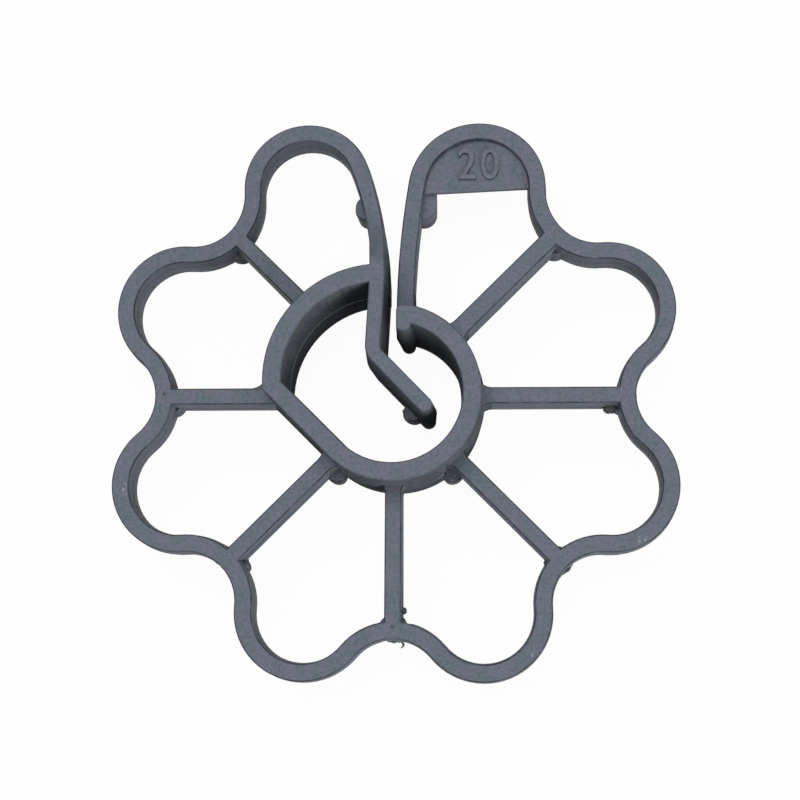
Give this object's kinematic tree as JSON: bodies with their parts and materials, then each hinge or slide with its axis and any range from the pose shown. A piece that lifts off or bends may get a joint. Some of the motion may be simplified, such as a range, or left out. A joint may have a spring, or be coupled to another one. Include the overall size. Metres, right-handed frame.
{
  "type": "rebar wheel spacer",
  "caption": "Moulded plastic wheel spacer for reinforcing bar: a scalloped rim on spokes round a split hub with a sprung finger that clips onto the bar.",
  "frame": {"origin": "wheel axis at the back face of the hub, on which the part lies flat", "axes": "+Z along the wheel axis towards the numbered front, +Y towards the slot, +X to its right as seen from the front"},
  "size_m": [0.049, 0.0491, 0.01],
  "materials": {
    "grey_plastic": "satin"
  },
  "bodies": {
    "root": {"wheel_spacer": "grey_plastic"}
  },
  "joints": []
}
